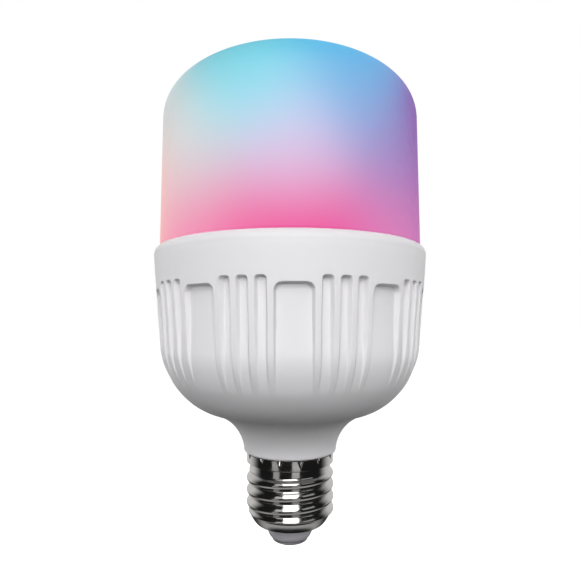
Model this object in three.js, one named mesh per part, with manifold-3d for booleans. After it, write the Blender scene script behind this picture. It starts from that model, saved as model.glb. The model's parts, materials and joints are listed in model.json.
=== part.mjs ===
// Smart LED lamp with a screw cap: opal diffuser, ribbed housing, heat sink, light engine,
// mains driver and radio module.
// Millimetres, +Z up, front towards -Y. The lamp stands cap down, and the origin is the middle of
// the centre contact's flat tip, which is the lamp's lowest point.

import * as THREE from 'three';
import { mergeVertices } from 'three/addons/utils/BufferGeometryUtils.js';
import Module from 'manifold-3d';

const wasm = await Module();
wasm.setup();

// ---------------------------------------------------------------- driving dimensions

const GAP = 0.3; // clearance between neighbouring pieces

// Screw cap, size E27.
const CAP_TOP = 26.9;
const BAND_RADIUS = 13.1; // plain crimp band above the thread
const BAND_BOTTOM = 24.1;
const THREAD_TOP = 23.7;
const THREAD_BOTTOM = 8.6;
const THREAD_CREST_RADIUS = 13.2;
const THREAD_ROOT_RADIUS = 12.2;
const THREAD_PITCH = 3.629;
const THREAD_CREST_HEIGHT = 10.1; // a crest's height on the +X side
const THREAD_ROWS = 26;
const SHELL_BORE_RADIUS = 11.7;
const SHELL_CONE = { radius: 10.2, height: 5.8 }; // where the tapered lower end turns in
const SHELL_LIP = { radius: 7.0, height: 5.2, thickness: 0.5 };
const CONTACT_FLAT_RADIUS = 4.3;
const CONTACT_RADIUS = 5.5;
const CONTACT_TOP = 1.0;
const RIVET_RADIUS = 1.8;
const RIVET_TOP = 10.2;
const INSULATOR_RADIUS = SHELL_LIP.radius - GAP; // where it shows below the shell
const INSULATOR_TOP = 9.6;

// Housing.
const NECK_BOTTOM = 27.2;
const NECK_RADIUS = 13.97;
const NECK_CHAMFER = 0.9;
const SHOULDER = { radius: 24.38, height: 39.71 }; // where the bowl turns into the neck
const SIDE_BOTTOM = { radius: 38.32, height: 58.39 }; // where the tapered side turns under
const SIDE_TOP = { radius: 40.0, height: 84.9 };
const COLLAR_TOP = { radius: 38.4, height: 87.4 };
const SPIGOT_RADIUS = 11.4;
const SPIGOT_BOTTOM = 14.0;
const SPIGOT_BORE = { radius: 9.8, height: 31.5 };
const COLLAR_BORE_RADIUS = 37.7;
const LEDGE_HEIGHT = 82.9;
const INNER_SIDE_TOP_RADIUS = 36.4;
const INNER_SIDE_BOTTOM = { radius: 34.5, height: 57.0 };
const INNER_SHOULDER = { radius: 16.0, height: 40.6 };

// Handles of the housing's curves, each a pair of [radius, height].
const NECK_HANDLES = [[14.04, 30.03], [15.57, 37.18]];
const BOWL_HANDLES = [[33.04, 42.76], [37.97, 52.83]];
const RIM_HANDLES = [[40.0, 86.1], [39.3, 87.1]];
const INNER_BOWL_HANDLES = [[33.4, 47.2], [24.0, 44.0]];
const INNER_NECK_HANDLES = [[12.0, 38.8], [SPIGOT_BORE.radius, 36.0]];

// Recess pattern round the housing: one wide window and three narrow slots in each period.
const PATTERN_PERIODS = 10;
const PATTERN_TURN = 1.5; // degrees from the front to the middle of the nearest window
const WINDOW = { width: 9.4, top: 75.0, cornerRadius: 2.0, cornerFacets: 2 };
const SLOT = { width: 2.8, top: 76.6, cornerRadius: 1.1, cornerFacets: 1 };
const SLOTS_PER_PERIOD = 3;
const SLOT_SPACING = 6.6; // degrees
const RECESS_DEPTH = 1.5;
const RECESS_FADE = { bottom: 48.5, top: 63.0 }; // heights where the depth starts and is full
const RECESS_FLOOR_TOP = 80.0;
const RECESS_FADE_ROWS = 5;

// Diffuser.
const DOME_BOTTOM = { radius: 38.4, height: 87.7 };
const DOME_SHOULDER = { radius: 37.5, height: 123.4 };
const DOME_RISE = 17.8;
const DOME_EXPONENT = 2.3;
const DOME_WALL = 1.6;
const SKIRT_RADIUS = 37.4;
const SKIRT_BOTTOM = 83.8;

// Heat sink and light engine.
const SINK_TOP = 82.6;
const SINK_PLATE = 2.0;
const SINK_WALL = 1.2;
const SINK_RIM = { radius: 34.1, height: 57.0 };
const SINK_TOP_RADIUS = 36.0;
const PAD_RADIUS = 33.0;
const PAD_THICKNESS = 0.5;
const LED_BOARD_RADIUS = 34.5;
const LED_BOARD_THICKNESS = 1.6;
const LED_BOARD_BOTTOM = SINK_TOP + PAD_THICKNESS;
const LED_BOARD_TOP = LED_BOARD_BOTTOM + LED_BOARD_THICKNESS;
const WHITE_LED = { length: 3.5, width: 2.8, height: 0.75, ringRadius: 28.5, pairs: 10 };
const COLOUR_LED = { length: 5.0, width: 5.0, height: 1.5, ringRadius: 17.5, count: 8 };
const SCREW = { count: 3, ringRadius: 23.6, shankRadius: 1.4, length: 6.0 };
const SCREW_HEAD = { radius: 2.7, height: 1.7 };
const SCREW_HOLE_RADIUS = SCREW.shankRadius + GAP;
const HEADER_SLOT = { width: 14.0, depth: 4.0, y: 0.0 };
const RADIO_SLOT = { width: 19.0, depth: 2.0, y: 6.0 };

// Driver and radio module.
const DRIVER_THICKNESS = 1.6;
const DRIVER_TOP = 78.5;
const DRIVER_BOTTOM = 24.5;
const DRIVER_HALF_WIDTH = 22.0;
const DRIVER_TAIL_HALF_WIDTH = 8.5;
const DRIVER_FRONT = -DRIVER_THICKNESS / 2;
const DRIVER_BACK = DRIVER_THICKNESS / 2;
const DRIVER_SHOULDER = { bottom: 42.0, top: 46.0 };
const BULK_CAPACITOR = { radius: 5.0, bottom: 50.0, top: 70.0, x: -14.0 };
const OUTPUT_CAPACITOR = { radius: 3.2, bottom: 46.8, top: 56.0, x: 17.2 };
const FILM_CAPACITOR = { left: -5.0, right: -0.6, bottom: 60.0, top: 73.0, depth: 6.0 };
const TRANSFORMER = { x: 8.0, width: 16.0, bottom: 57.0, top: 72.0, front: -10.8, back: -3.8 };
const CORE_LEG = { outer: 2.4, centre: 4.6, yoke: 2.6 };
const CHOKE = { radius: 4.2, flange: 1.5, groove: 0.8, bottom: 46.5, top: 55.0, x: 8.0 };
const VARISTOR = { radius: 3.6, thickness: 3.2, x: 3.6, z: 36.0 };
const FUSE = { capRadius: 1.9, barrelRadius: 1.6, bottom: 29.0, top: 39.5, x: -4.2 };
const RECTIFIER = { x: 0, z: 40.0, width: 4.7, height: 4.0, leads: 2 };
const DRIVER_CHIP = { x: -12.0, z: 58.0, width: 4.0, height: 5.0, leads: 4 };
const HEADER = { pins: 5, pitch: 2.54, halfLength: 6.4, halfWidth: 1.3, stripHeight: 2.5 };
const RADIO = { width: 18.0, bottom: 60.0, top: 95.0, front: 5.5, back: 6.5 };
const RADIO_SHIELD = { halfWidth: 7.0, bottom: 63.0, top: 78.0, depth: 2.6, wall: 0.4 };
const RADIO_ANTENNA = { strip: 0.8, turns: 6, step: 2.2, bottom: 87.5, top: 93.5, thickness: 0.2 };
const RADIO_HEADER = { halfLength: 6.4, bottom: 64.5, top: 67.0 };

// Middle lines of the two wires between the cap and the driver.
const WIRE_RADIUS = 0.7;
const LIVE_WIRE = [
  [0, 0, RIVET_TOP + GAP],
  [-0.4, -0.3, 13.5],
  [-3.2, -2.4, 18.0],
  [FUSE.x, -3.0, 22.5],
  [FUSE.x, -3.0, FUSE.bottom - 0.6],
];
const NEUTRAL_WIRE = [
  [10.4, 0, 11.2],
  [9.4, -0.4, 12.3],
  [6.4, -1.4, 12.6],
  [4.2, -2.6, 16.5],
  [VARISTOR.x, -2.8, 23.0],
  [VARISTOR.x, -2.8, VARISTOR.z - VARISTOR.radius - 0.6],
];

// Facets round each turned piece.
const HOUSING_SEGMENTS = 60;
const DOME_SEGMENTS = 48;
const CAP_SEGMENTS = 36;
const SMALL_SEGMENTS = 20;

// ---------------------------------------------------------------- materials

function finish(color, roughness, metalness) {
  return () => new THREE.MeshStandardMaterial({ color, roughness, metalness });
}

const opalPlastic = finish(0xbfd8ee, 0.35, 0.0);
const whitePlastic = finish(0xe6e6e7, 0.42, 0.0);
const nickel = finish(0xc9c9c6, 0.12, 1.0);
const tinnedMetal = finish(0x97959c, 0.35, 0.9);
const greyPlastic = finish(0x8d8c93, 0.45, 0.0);
const blackPlastic = finish(0x151515, 0.5, 0.0);
const castAluminium = finish(0xb9bcc0, 0.4, 1.0);
const silicone = finish(0xdad9d2, 0.6, 0.0);
const thermalSilicone = finish(0x8f9aa6, 0.8, 0.0);
const whiteSolderMask = finish(0xf0efe9, 0.5, 0.0);
const greenSolderMask = finish(0x1f5a38, 0.45, 0.0);
const blueSolderMask = finish(0x1d3f86, 0.45, 0.0);
const warmPhosphor = finish(0xf3c65c, 0.4, 0.0);
const coolPhosphor = finish(0xf2e9a0, 0.4, 0.0);
const clearEpoxy = finish(0xe9eef2, 0.2, 0.0);
const zincSteel = finish(0xb5b8ba, 0.3, 1.0);
const blackEpoxy = finish(0x1d1d1f, 0.55, 0.0);
const capacitorSleeve = finish(0x24304f, 0.4, 0.0);
const filmYellow = finish(0xd9a821, 0.45, 0.0);
const ferrite = finish(0x3b3a3c, 0.65, 0.0);
const windingTape = finish(0xd8b43a, 0.45, 0.0);
const greenLacquer = finish(0x4d8f6a, 0.45, 0.0);
const blueLacquer = finish(0x2f62a8, 0.4, 0.0);
const gold = finish(0xd3a747, 0.3, 1.0);
const brownSleeve = finish(0x6a4028, 0.5, 0.0);
const blueSleeve = finish(0x2a56a3, 0.5, 0.0);

// ---------------------------------------------------------------- solids

function degrees(angle) {
  return THREE.MathUtils.degToRad(angle);
}

// Signed volume of an indexed triangle mesh, positive when its faces point out.
function signedVolume(position, index) {
  const a = new THREE.Vector3();
  const b = new THREE.Vector3();
  const c = new THREE.Vector3();
  let volume = 0;
  for (let i = 0; i < index.length; i += 3) {
    a.fromBufferAttribute(position, index[i]);
    b.fromBufferAttribute(position, index[i + 1]);
    c.fromBufferAttribute(position, index[i + 2]);
    volume += a.dot(b.cross(c)) / 6;
  }
  return volume;
}

// Closed mesh with merged vertices, no collapsed triangles and its faces pointing out.
function closedMesh(geometry) {
  const bare = geometry.clone();
  bare.deleteAttribute('normal');
  bare.deleteAttribute('uv');
  const merged = mergeVertices(bare, 1e-4);
  const source = merged.index.array;
  const kept = [];
  for (let i = 0; i < source.length; i += 3) {
    const [p, q, r] = [source[i], source[i + 1], source[i + 2]];
    if (p !== q && q !== r && r !== p) kept.push(p, q, r);
  }
  if (signedVolume(merged.attributes.position, kept) < 0) kept.reverse();
  merged.setIndex(kept);
  return merged;
}

function toSolid(geometry) {
  const closed = closedMesh(geometry);
  const vertProperties = new Float32Array(closed.attributes.position.array);
  const triVerts = new Uint32Array(closed.index.array);
  return new wasm.Manifold(new wasm.Mesh({ numProp: 3, vertProperties, triVerts }));
}

function fromSolid(solid) {
  const mesh = solid.getMesh();
  const geometry = new THREE.BufferGeometry();
  const places = new Float32Array(mesh.vertProperties);
  geometry.setAttribute('position', new THREE.BufferAttribute(places, 3));
  geometry.setIndex(new THREE.BufferAttribute(new Uint32Array(mesh.triVerts), 1));
  return geometry;
}

// The first geometry with each of the others cut out of it.
function cut(body, cutters) {
  let solid = toSolid(body);
  for (const cutter of cutters) solid = solid.subtract(toSolid(cutter));
  return fromSolid(solid);
}

// The geometries joined into one.
function join(geometries) {
  let solid = toSolid(geometries[0]);
  for (const geometry of geometries.slice(1)) solid = solid.add(toSolid(geometry));
  return fromSolid(solid);
}

// Turned piece about +Z. The profile is a list of [radius, height] pairs or Vector2s.
function turned(profile, segments) {
  const points = profile.map((p) => (p.isVector2 ? p : new THREE.Vector2(p[0], p[1])));
  const geometry = new THREE.LatheGeometry(points, segments);
  return closedMesh(geometry.rotateX(Math.PI / 2));
}

// Box from its low corner to its high corner.
function block(low, high) {
  const size = high.map((value, i) => value - low[i]);
  const middle = high.map((value, i) => (value + low[i]) / 2);
  return new THREE.BoxGeometry(...size).translate(...middle);
}

// Upright cylinder from one height to another.
function post(radius, bottom, top, x = 0, y = 0, segments = SMALL_SEGMENTS) {
  const geometry = new THREE.CylinderGeometry(radius, radius, top - bottom, segments);
  return geometry.rotateX(Math.PI / 2).translate(x, y, (bottom + top) / 2);
}

function polygon(points) {
  return new THREE.Shape(points.map(([x, y]) => new THREE.Vector2(x, y)));
}

function circlePoints(radius, count, x = 0, y = 0) {
  return Array.from({ length: count }, (_, i) => {
    const angle = (2 * Math.PI * i) / count;
    return [x + radius * Math.cos(angle), y + radius * Math.sin(angle)];
  });
}

function rectanglePoints(width, depth, x = 0, y = 0) {
  return [
    [x - width / 2, y - depth / 2],
    [x + width / 2, y - depth / 2],
    [x + width / 2, y + depth / 2],
    [x - width / 2, y + depth / 2],
  ];
}

// Flat plate drawn in plan, from one height to another, with holes right through it.
function plate(outline, holes, bottom, top) {
  const shape = polygon(outline);
  shape.holes = holes.map(polygon);
  const geometry = new THREE.ExtrudeGeometry(shape, { depth: top - bottom, bevelEnabled: false });
  return geometry.translate(0, 0, bottom);
}

// Flat plate drawn as [x, height] pairs, standing between two depths along Y.
function uprightPlate(outline, holes, front, back) {
  const geometry = plate(outline, holes, 0, back - front);
  return geometry.rotateX(Math.PI / 2).translate(0, back, 0);
}

// Round insulated wire along a smooth curve.
function wire(points, steps) {
  const path = new THREE.CatmullRomCurve3(points.map((p) => new THREE.Vector3(...p)));
  const section = polygon(circlePoints(WIRE_RADIUS, 8));
  return new THREE.ExtrudeGeometry(section, { steps, extrudePath: path, bevelEnabled: false });
}

// Turns a geometry about the lamp's axis from its place on the front, which is towards -Y.
function aroundAxis(geometry, angle) {
  return geometry.rotateZ(degrees(angle));
}

// ---------------------------------------------------------------- screw cap

function smoothFade(height, edge, width) {
  return THREE.MathUtils.smoothstep(Math.abs(height - edge), 0, width);
}

// Pushes the points that lie on the thread's root radius out to its rounded right-hand crests.
function raiseThread(geometry) {
  const position = geometry.attributes.position;
  const crestDepth = THREAD_CREST_RADIUS - THREAD_ROOT_RADIUS;
  for (let i = 0; i < position.count; i += 1) {
    const [x, y, z] = [position.getX(i), position.getY(i), position.getZ(i)];
    const radius = Math.hypot(x, y);
    const onRoot = Math.abs(radius - THREAD_ROOT_RADIUS) < 1e-3;
    if (!onRoot || z > THREAD_TOP || z < THREAD_BOTTOM) continue;
    const crest = THREAD_CREST_HEIGHT + (THREAD_PITCH * Math.atan2(y, x)) / (2 * Math.PI);
    const wave = 0.5 + 0.5 * Math.cos((2 * Math.PI * (z - crest)) / THREAD_PITCH);
    const topFade = smoothFade(z, THREAD_TOP, THREAD_PITCH / 2);
    const bottomFade = smoothFade(z, THREAD_BOTTOM, THREAD_PITCH / 3);
    const scale = 1 + (crestDepth * wave * topFade * bottomFade) / radius;
    position.setXYZ(i, x * scale, y * scale, z);
  }
  return geometry;
}

// Crimp band, thread, and a tapered lower end whose lip turns in towards the insulator.
function screwShell() {
  const { radius, height, thickness } = SHELL_LIP;
  const profile = [
    [SHELL_BORE_RADIUS, CAP_TOP],
    [BAND_RADIUS, CAP_TOP],
    [BAND_RADIUS, BAND_BOTTOM],
  ];
  for (let i = 0; i <= THREAD_ROWS; i += 1) {
    profile.push([THREAD_ROOT_RADIUS, THREE.MathUtils.lerp(THREAD_TOP, THREAD_BOTTOM, i / THREAD_ROWS)]);
  }
  profile.push(
    [THREAD_ROOT_RADIUS - 0.45, THREAD_BOTTOM - 0.9],
    [SHELL_CONE.radius, SHELL_CONE.height],
    [SHELL_CONE.radius - 0.8, height + 0.15],
    [radius, height],
    [radius, height + thickness],
    [SHELL_CONE.radius - 0.5, SHELL_CONE.height + thickness],
    [SHELL_BORE_RADIUS, THREAD_BOTTOM],
    [SHELL_BORE_RADIUS, CAP_TOP],
  );
  return raiseThread(turned(profile, CAP_SEGMENTS));
}

// Moulding that fills the shell's lower end and stands out below it round the contact.
function capInsulator() {
  const hole = RIVET_RADIUS + GAP;
  const bottom = CONTACT_TOP + GAP;
  const lip = SHELL_LIP.height + SHELL_LIP.thickness;
  const inside = SHELL_BORE_RADIUS - 2 * GAP;
  return turned([
    [hole, bottom],
    [CONTACT_RADIUS + 0.2, bottom],
    [INSULATOR_RADIUS - 0.5, bottom + 0.5],
    [INSULATOR_RADIUS, bottom + 1.5],
    [INSULATOR_RADIUS, lip + GAP],
    [SHELL_CONE.radius - 0.9, lip + 0.9],
    [inside, THREAD_BOTTOM],
    [inside, INSULATOR_TOP],
    [hole, INSULATOR_TOP],
    [hole, bottom],
  ], CAP_SEGMENTS);
}

// Flat round head with a rivet shank up through the insulator.
function centreContact() {
  return turned([
    [0, 0],
    [CONTACT_FLAT_RADIUS, 0],
    [CONTACT_RADIUS - 0.3, CONTACT_TOP / 2],
    [CONTACT_RADIUS, CONTACT_TOP - 0.1],
    [CONTACT_RADIUS - 0.1, CONTACT_TOP],
    [RIVET_RADIUS, CONTACT_TOP],
    [RIVET_RADIUS, RIVET_TOP],
    [0, RIVET_TOP],
  ], CAP_SEGMENTS);
}

// ---------------------------------------------------------------- housing and diffuser

// Points of a cubic curve in the [radius, height] plane, without its first point.
function profileCurve(start, startPull, endPull, end, count) {
  const corners = [start, startPull, endPull, end].map(([r, z]) => new THREE.Vector2(r, z));
  return new THREE.CubicBezierCurve(...corners).getPoints(count).slice(1);
}

// The housing's outside from the neck's bottom edge up to the top of the tapered side.
function housingOutside() {
  const neckTop = [NECK_RADIUS, NECK_BOTTOM + NECK_CHAMFER];
  const shoulder = [SHOULDER.radius, SHOULDER.height];
  const sideBottom = [SIDE_BOTTOM.radius, SIDE_BOTTOM.height];
  return [
    new THREE.Vector2(NECK_RADIUS - NECK_CHAMFER, NECK_BOTTOM),
    new THREE.Vector2(...neckTop),
    ...profileCurve(neckTop, ...NECK_HANDLES, shoulder, 6),
    ...profileCurve(shoulder, ...BOWL_HANDLES, sideBottom, 8),
    new THREE.Vector2(SIDE_TOP.radius, SIDE_TOP.height),
  ];
}

// Closed section of the housing: up its outside from the spigot, over the collar and down inside.
function housingProfile() {
  const sideTop = [SIDE_TOP.radius, SIDE_TOP.height];
  const rim = [COLLAR_TOP.radius, COLLAR_TOP.height];
  const wallBottom = [INNER_SIDE_BOTTOM.radius, INNER_SIDE_BOTTOM.height];
  const innerShoulder = [INNER_SHOULDER.radius, INNER_SHOULDER.height];
  const boreTop = [SPIGOT_BORE.radius, SPIGOT_BORE.height];
  return [
    [SPIGOT_BORE.radius, SPIGOT_BOTTOM],
    [SPIGOT_RADIUS, SPIGOT_BOTTOM],
    [SPIGOT_RADIUS, NECK_BOTTOM],
    ...housingOutside(),
    ...profileCurve(sideTop, ...RIM_HANDLES, rim, 3),
    [COLLAR_BORE_RADIUS, COLLAR_TOP.height],
    [COLLAR_BORE_RADIUS, LEDGE_HEIGHT],
    [INNER_SIDE_TOP_RADIUS, LEDGE_HEIGHT],
    wallBottom,
    ...profileCurve(wallBottom, ...INNER_BOWL_HANDLES, innerShoulder, 4),
    ...profileCurve(innerShoulder, ...INNER_NECK_HANDLES, boreTop, 3),
    [SPIGOT_BORE.radius, SPIGOT_BOTTOM],
  ];
}

// Radius of the housing's outside at a height, above the neck's bottom edge.
function outsideRadius(height) {
  const outline = housingOutside();
  const upper = outline.findIndex((point, i) => i > 0 && point.y >= height);
  const [low, high] = [outline[upper - 1], outline[upper]];
  return THREE.MathUtils.mapLinear(height, low.y, high.y, low.x, high.x);
}

// Upright prism at the front for one recess, with round top corners, that reaches in past its floor.
function recessPrism({ width, top, cornerRadius, cornerFacets }) {
  const half = width / 2;
  const bottom = RECESS_FADE.bottom;
  const outline = new THREE.Shape();
  outline.moveTo(-half, bottom);
  outline.lineTo(half, bottom);
  outline.lineTo(half, top - cornerRadius);
  outline.absarc(half - cornerRadius, top - cornerRadius, cornerRadius, 0, Math.PI / 2);
  outline.lineTo(cornerRadius - half, top);
  outline.absarc(cornerRadius - half, top - cornerRadius, cornerRadius, Math.PI / 2, Math.PI);
  outline.lineTo(-half, bottom);
  const [near, far] = [SIDE_BOTTOM.radius - 5, SIDE_TOP.radius + 2];
  const shape = { depth: far - near, curveSegments: cornerFacets, bevelEnabled: false };
  return new THREE.ExtrudeGeometry(outline, shape).rotateX(Math.PI / 2).translate(0, -near, 0);
}

function recessPrisms() {
  const prisms = [];
  const period = 360 / PATTERN_PERIODS;
  for (let i = 0; i < PATTERN_PERIODS; i += 1) {
    const window = PATTERN_TURN + i * period;
    prisms.push(aroundAxis(recessPrism(WINDOW), window));
    for (let j = 0; j < SLOTS_PER_PERIOD; j += 1) {
      const offset = period / 2 + (j - (SLOTS_PER_PERIOD - 1) / 2) * SLOT_SPACING;
      prisms.push(aroundAxis(recessPrism(SLOT), window + offset));
    }
  }
  return prisms;
}

// Turned body whose outside the recess floors lie on. It follows the housing's outside at the
// recess depth, and comes up through it where the recesses run out in the bowl.
function recessFloors() {
  const overlap = 0.05;
  const bottom = RECESS_FADE.bottom - 1;
  const profile = [[0, bottom]];
  for (let i = 0; i <= RECESS_FADE_ROWS; i += 1) {
    const height = THREE.MathUtils.lerp(bottom, RECESS_FADE.top, i / RECESS_FADE_ROWS);
    const fade = THREE.MathUtils.smoothstep(height, RECESS_FADE.bottom, RECESS_FADE.top);
    profile.push([outsideRadius(height) + overlap - (RECESS_DEPTH + overlap) * fade, height]);
  }
  profile.push([outsideRadius(RECESS_FLOOR_TOP) - RECESS_DEPTH, RECESS_FLOOR_TOP]);
  profile.push([0, RECESS_FLOOR_TOP]);
  return turned(profile, HOUSING_SEGMENTS);
}

function housingShell() {
  const recesses = cut(join(recessPrisms()), [recessFloors()]);
  return cut(turned(housingProfile(), HOUSING_SEGMENTS), [recesses]);
}

// Quarter of the dome's rounded end, from its shoulder to the axis.
function domeArc(radius, rise, count) {
  return Array.from({ length: count + 1 }, (_, i) => {
    const turn = (Math.PI / 2) * (i / count);
    const power = 2 / DOME_EXPONENT;
    const r = i === count ? 0 : radius * Math.cos(turn) ** power;
    return [r, DOME_SHOULDER.height + rise * Math.sin(turn) ** power];
  });
}

function diffuserDome() {
  const outer = domeArc(DOME_SHOULDER.radius, DOME_RISE, 9).reverse();
  const inner = domeArc(DOME_SHOULDER.radius - DOME_WALL, DOME_RISE - DOME_WALL, 7);
  const skirtBore = SKIRT_RADIUS - DOME_WALL;
  return turned([
    ...outer,
    [DOME_BOTTOM.radius, DOME_BOTTOM.height],
    [SKIRT_RADIUS, DOME_BOTTOM.height],
    [SKIRT_RADIUS, SKIRT_BOTTOM],
    [skirtBore, SKIRT_BOTTOM],
    [skirtBore, DOME_BOTTOM.height],
    ...inner,
  ], DOME_SEGMENTS);
}

function diffuserSealRing() {
  const outer = SKIRT_RADIUS;
  const inner = SKIRT_RADIUS - DOME_WALL + 0.8;
  const top = SKIRT_BOTTOM - GAP;
  return turned([
    [inner, LEDGE_HEIGHT],
    [outer, LEDGE_HEIGHT],
    [outer, top],
    [inner, top],
    [inner, LEDGE_HEIGHT],
  ], DOME_SEGMENTS);
}

// ---------------------------------------------------------------- heat sink and light engine

function screwPlaces() {
  return Array.from({ length: SCREW.count }, (_, i) => {
    const angle = degrees(90 + (360 * i) / SCREW.count);
    return [SCREW.ringRadius * Math.cos(angle), SCREW.ringRadius * Math.sin(angle)];
  });
}

function heatSinkCup() {
  const cup = turned([
    [0, SINK_TOP - SINK_PLATE],
    [SINK_TOP_RADIUS - SINK_WALL - 0.15, SINK_TOP - SINK_PLATE],
    [SINK_RIM.radius - SINK_WALL, SINK_RIM.height],
    [SINK_RIM.radius, SINK_RIM.height],
    [SINK_TOP_RADIUS, SINK_TOP],
    [0, SINK_TOP],
  ], HOUSING_SEGMENTS);
  const below = SINK_TOP - SINK_PLATE - 1;
  const above = SINK_TOP + 1;
  const slots = [HEADER_SLOT, RADIO_SLOT].map(({ width, depth, y }) => (
    block([-width / 2, y - depth / 2, below], [width / 2, y + depth / 2, above])
  ));
  const holes = screwPlaces().map(([x, y]) => post(SCREW_HOLE_RADIUS, below, above, x, y, 12));
  return cut(cup, [...slots, ...holes]);
}

function boardHoles() {
  const slots = [HEADER_SLOT, RADIO_SLOT].map(({ width, depth, y }) => (
    rectanglePoints(width, depth, 0, y)
  ));
  const holes = screwPlaces().map(([x, y]) => circlePoints(SCREW_HOLE_RADIUS, 12, x, y));
  return [...slots, ...holes];
}

function thermalPad() {
  return plate(circlePoints(PAD_RADIUS, DOME_SEGMENTS), boardHoles(), SINK_TOP, LED_BOARD_BOTTOM);
}

function ledBoard() {
  return plate(circlePoints(LED_BOARD_RADIUS, DOME_SEGMENTS), boardHoles(), LED_BOARD_BOTTOM, LED_BOARD_TOP);
}

// Pan-head screw through the board into the heat sink's plate, with a cross recess.
function boardScrew(x, y) {
  const { shankRadius, length } = SCREW;
  const { radius: headRadius, height: headHeight } = SCREW_HEAD;
  const screw = turned([
    [0, -length],
    [shankRadius * 0.6, -length],
    [shankRadius, 0.6 - length],
    [shankRadius, 0],
    [headRadius, 0],
    [headRadius, headHeight * 0.4],
    [headRadius * 0.75, headHeight * 0.85],
    [0, headHeight],
  ], 16);
  const armLength = headRadius * 0.62;
  const recessFloor = headHeight * 0.4;
  const arms = [[armLength, 0.3], [0.3, armLength]].map(([halfX, halfY]) => (
    block([-halfX, -halfY, recessFloor], [halfX, halfY, headHeight + 1])
  ));
  return cut(screw, [join(arms)]).translate(x, y, LED_BOARD_TOP);
}

// Surface-mounted white emitter: a moulded package with sloping sides.
function whiteEmitter() {
  const { length, width, height } = WHITE_LED;
  const body = new THREE.CylinderGeometry(0.62, Math.SQRT1_2, height, 4);
  body.rotateX(Math.PI / 2).rotateZ(Math.PI / 4).scale(length, width, 1);
  return body.translate(0, 0, LED_BOARD_TOP + height / 2);
}

// Surface-mounted colour emitter: a square package with a round well over its three dies.
function colourEmitter() {
  const { length, width, height } = COLOUR_LED;
  const top = LED_BOARD_TOP + height;
  const body = block([-length / 2, -width / 2, LED_BOARD_TOP], [length / 2, width / 2, top]);
  return cut(body, [post(width * 0.4, top - 0.6, top + 1, 0, 0, 12)]);
}

// Emitter geometry moved out to its ring and turned to its place round the board.
function onRing(geometry, ringRadius, angle) {
  return aroundAxis(geometry.translate(0, -ringRadius, 0), angle);
}

// Open-topped socket on the light engine that takes the driver's upright header.
function ledSocket() {
  const height = 4.0;
  const outer = rectanglePoints(17.0, 7.0);
  const inner = rectanglePoints(HEADER_SLOT.width - 0.2, HEADER_SLOT.depth - 0.4);
  return plate(outer, [inner], LED_BOARD_TOP, LED_BOARD_TOP + height);
}

// ---------------------------------------------------------------- driver

function driverBoard() {
  const outline = [
    [-DRIVER_TAIL_HALF_WIDTH, DRIVER_BOTTOM],
    [DRIVER_TAIL_HALF_WIDTH, DRIVER_BOTTOM],
    [DRIVER_TAIL_HALF_WIDTH, DRIVER_SHOULDER.bottom],
    [DRIVER_HALF_WIDTH, DRIVER_SHOULDER.top],
    [DRIVER_HALF_WIDTH, DRIVER_TOP],
    [-DRIVER_HALF_WIDTH, DRIVER_TOP],
    [-DRIVER_HALF_WIDTH, DRIVER_SHOULDER.top],
    [-DRIVER_TAIL_HALF_WIDTH, DRIVER_SHOULDER.bottom],
  ];
  return uprightPlate(outline, [], DRIVER_FRONT, DRIVER_BACK);
}

// Upright electrolytic can in front of the driver board, with a rolled groove above its base.
function electrolyticCan({ radius, bottom, top, x }) {
  const groove = bottom + 2.0;
  const can = turned([
    [0, bottom],
    [radius - 0.4, bottom],
    [radius, bottom + 0.4],
    [radius, groove - 0.5],
    [radius - 0.5, groove],
    [radius, groove + 0.5],
    [radius, top - 0.5],
    [radius - 0.5, top],
    [0, top],
  ], SMALL_SEGMENTS);
  return can.translate(x, DRIVER_FRONT - GAP - radius, 0);
}

// Ferrite core: two E halves that close into a frame with a centre leg.
function transformerCore() {
  const { x, width, bottom, top, front, back } = TRANSFORMER;
  const windowWidth = (width - 2 * CORE_LEG.outer - CORE_LEG.centre) / 2;
  const offset = (CORE_LEG.centre + windowWidth) / 2;
  const windows = [x - offset, x + offset].map((middle) => (
    block([middle - windowWidth / 2, front - 1, bottom + CORE_LEG.yoke],
      [middle + windowWidth / 2, back + 1, top - CORE_LEG.yoke])
  ));
  return cut(block([x - width / 2, front, bottom], [x + width / 2, back, top]), windows);
}

// Taped winding round the core's centre leg.
function transformerWinding() {
  const { x, width, bottom, top, front, back } = TRANSFORMER;
  const y = (front + back) / 2;
  const coreDepth = back - front;
  const outer = rectanglePoints(width - 2 * CORE_LEG.outer - 2 * GAP, coreDepth + 4.8, x, y);
  const inner = rectanglePoints(CORE_LEG.centre + 2 * GAP, coreDepth + 2 * GAP, x, y);
  return plate(outer, [inner], bottom + CORE_LEG.yoke + GAP, top - CORE_LEG.yoke - GAP);
}

// Drum-shaped line filter choke.
function emiChoke() {
  const { radius, flange, groove, bottom, top, x } = CHOKE;
  const drum = turned([
    [0, bottom],
    [radius, bottom],
    [radius, bottom + flange],
    [radius - groove, bottom + flange],
    [radius - groove, top - flange],
    [radius, top - flange],
    [radius, top],
    [0, top],
  ], SMALL_SEGMENTS);
  return drum.translate(x, DRIVER_FRONT - GAP - radius, 0);
}

function filmCapacitor() {
  const { left, right, bottom, top, depth } = FILM_CAPACITOR;
  const near = DRIVER_FRONT - GAP;
  return block([left, near - depth, bottom], [right, near, top]);
}

// Disc varistor, its faces parallel to the tail of the board.
function varistor() {
  const { radius, thickness, x, z } = VARISTOR;
  const disc = new THREE.CylinderGeometry(radius, radius, thickness, SMALL_SEGMENTS);
  return disc.translate(x, DRIVER_FRONT - GAP - thickness / 2, z);
}

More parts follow.
